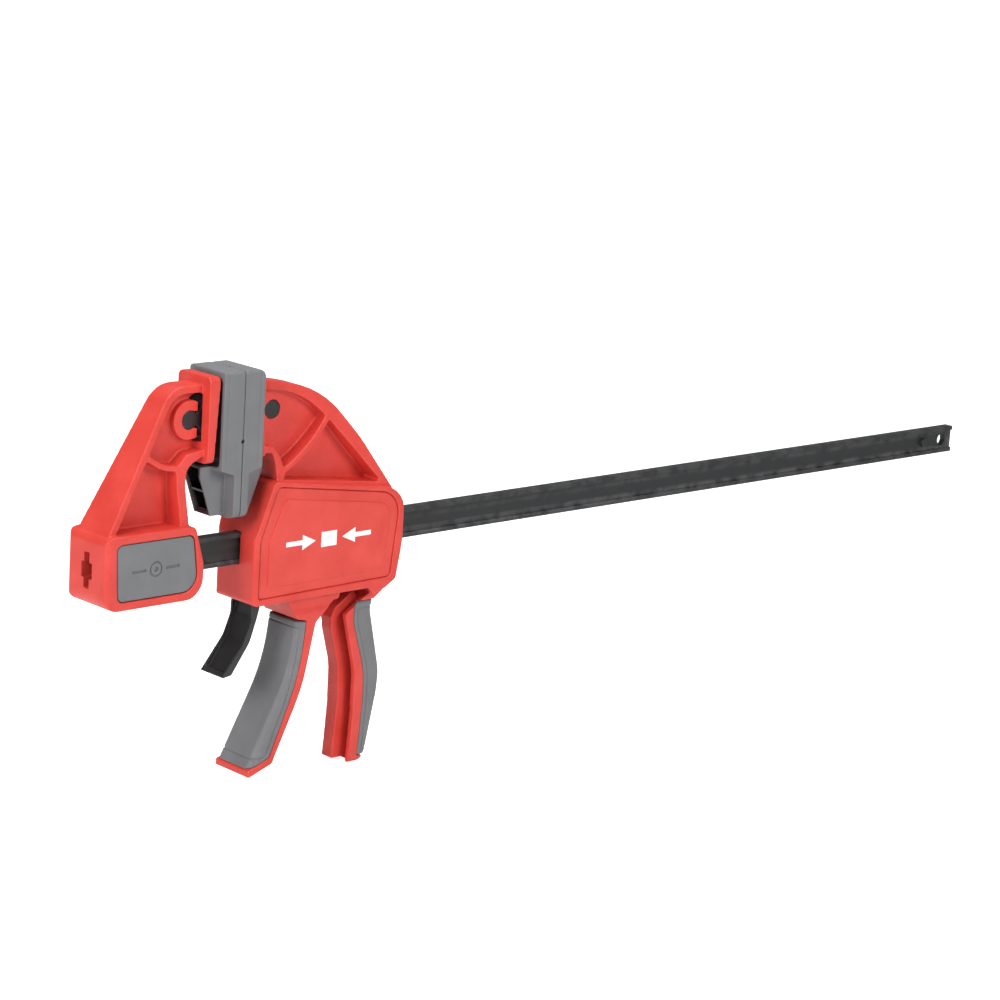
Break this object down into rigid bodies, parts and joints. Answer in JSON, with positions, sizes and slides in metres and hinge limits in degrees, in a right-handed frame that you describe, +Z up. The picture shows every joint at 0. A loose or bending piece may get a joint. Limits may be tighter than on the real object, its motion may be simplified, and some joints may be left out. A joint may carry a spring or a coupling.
{
  "type": "one-handed trigger bar clamp",
  "caption": "One-handed trigger bar clamp with swivelling soft pads, squeeze trigger, release lever and a push-button fixed jaw, shown closed.",
  "frame": {"origin": "middle of the bar's section, at the plane where the two closed pads meet", "axes": "+X along the bar towards its free end, +Z up from the bar towards the pads, -Y the push button's side"},
  "size_m": [0.908, 0.0434, 0.2971],
  "materials": {
    "bar_steel": "blackened, satin",
    "bright_steel": "machined",
    "spring_steel": "drawn wire",
    "red_nylon": "fine moulded texture",
    "grey_rubber": "matte soft-touch",
    "black_plastic": "satin moulded"
  },
  "bodies": {
    "bar_assembly": {"bar": "bar_steel", "bar_stop_pins": "bright_steel", "fixed_jaw": "red_nylon", "lock_cover": "black_plastic", "button_spring": "spring_steel"},
    "button_assembly": {"push_button": "grey_rubber", "lock_slider": "black_plastic", "lock_pin": "bright_steel"},
    "fixed_pad": {"fixed_pad_core": "black_plastic", "fixed_pad_face": "grey_rubber"},
    "moving_jaw_assembly": {"moving_jaw": "red_nylon", "side_cover_near": "red_nylon", "side_cover_far": "red_nylon", "rear_grip": "grey_rubber", "trigger_pivot_pin": "bright_steel", "lever_pivot_pin": "bright_steel", "drive_spring": "spring_steel", "brake_spring": "spring_steel"},
    "moving_pad": {"moving_pad_core": "black_plastic", "moving_pad_face": "grey_rubber"},
    "trigger_assembly": {"trigger": "red_nylon", "trigger_grip": "grey_rubber"},
    "drive_assembly": {"drive_plates": "bright_steel"},
    "release_assembly": {"release_lever": "black_plastic", "brake_plates": "bright_steel"}
  },
  "joints": [
    {"name": "jaw_slide", "type": "slide", "parent": "bar_assembly", "child": "moving_jaw_assembly", "axis": [1, 0, 0], "range_m": [0, 0.6]},
    {"name": "button_press", "type": "slide", "parent": "bar_assembly", "child": "button_assembly", "axis": [0, 1, 0], "range_m": [0, 0.004], "stiffness_N_per_m": 900, "springref_m": -0.004, "deforming": ["button_spring"]},
    {"name": "moving_pad_swivel", "type": "hinge", "parent": "moving_jaw_assembly", "child": "moving_pad", "pos_m": [0.037, 0, 0.095], "axis": [0, 1, 0], "range_deg": [-2.5, 2.5]},
    {"name": "fixed_pad_swivel", "type": "hinge", "parent": "bar_assembly", "child": "fixed_pad", "pos_m": [-0.037, 0, 0.095], "axis": [0, 1, 0], "range_deg": [-2.5, 2.5]},
    {"name": "trigger_squeeze", "type": "hinge", "parent": "moving_jaw_assembly", "child": "trigger_assembly", "pos_m": [0.072, 0, 0.024], "axis": [0, -1, 0], "range_deg": [0, 16]},
    {"name": "drive_push", "type": "slide", "parent": "moving_jaw_assembly", "child": "drive_assembly", "axis": [1, 0, 0], "range_m": [0, 0.0105], "deforming": ["drive_spring"]},
    {"name": "release_pull", "type": "hinge", "parent": "moving_jaw_assembly", "child": "release_assembly", "pos_m": [0.034, 0, 0.02], "axis": [0, -1, 0], "range_deg": [0, 9], "deforming": ["brake_spring"]}
  ],
  "couplings": [
    {"joint": "drive_push", "follows": "trigger_squeeze", "m_per_rad": 0.0372},
    {"joint": "fixed_pad_swivel", "follows": "moving_pad_swivel", "ratio": 1}
  ]
}
